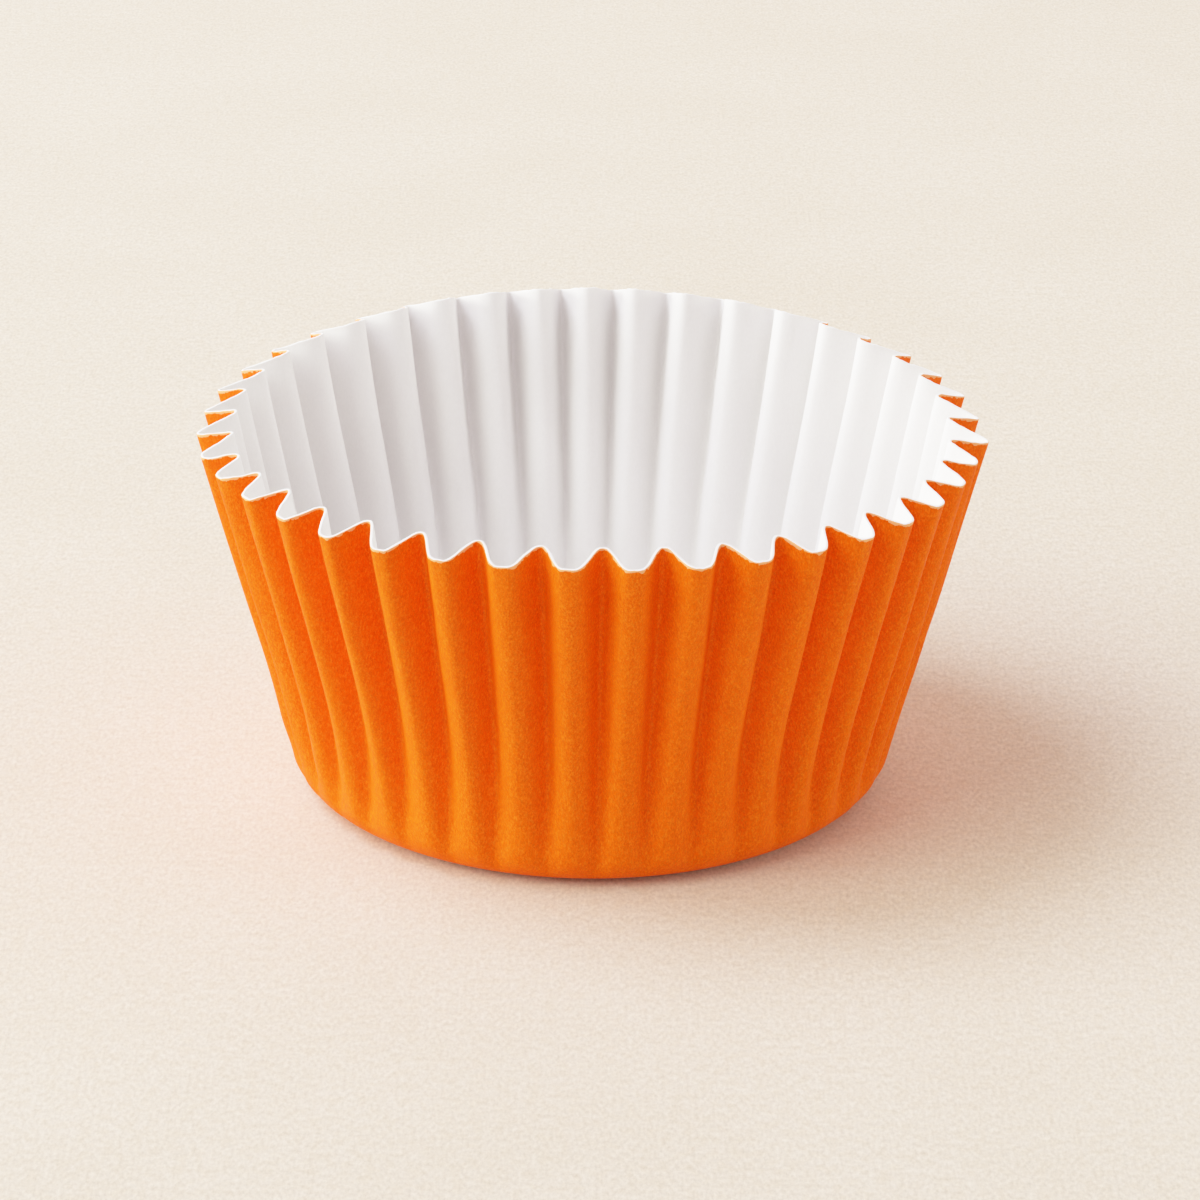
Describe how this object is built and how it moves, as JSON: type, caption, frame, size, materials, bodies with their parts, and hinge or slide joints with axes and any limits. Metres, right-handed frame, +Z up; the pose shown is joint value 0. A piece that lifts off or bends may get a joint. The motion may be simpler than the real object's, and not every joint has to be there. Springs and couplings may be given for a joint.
{
  "type": "paper candy cup",
  "caption": "Small round fluted paper cup for one sweet or chocolate, orange outside and white inside, with a flat base and a plain cut rim.",
  "frame": {"origin": "middle of the underside of the flat base", "axes": "+Z up along the axis of the cup, towards the open rim; the flutes are unevenly spaced, so X and Y have no mark of their own, and -Y is the side seen from the front"},
  "size_m": [0.0415, 0.0413, 0.0204],
  "materials": {
    "orange_white_paper": "satin uncoated paper, orange outside and white inside"
  },
  "bodies": {
    "root": {"paper_cup": "orange_white_paper"}
  },
  "joints": []
}
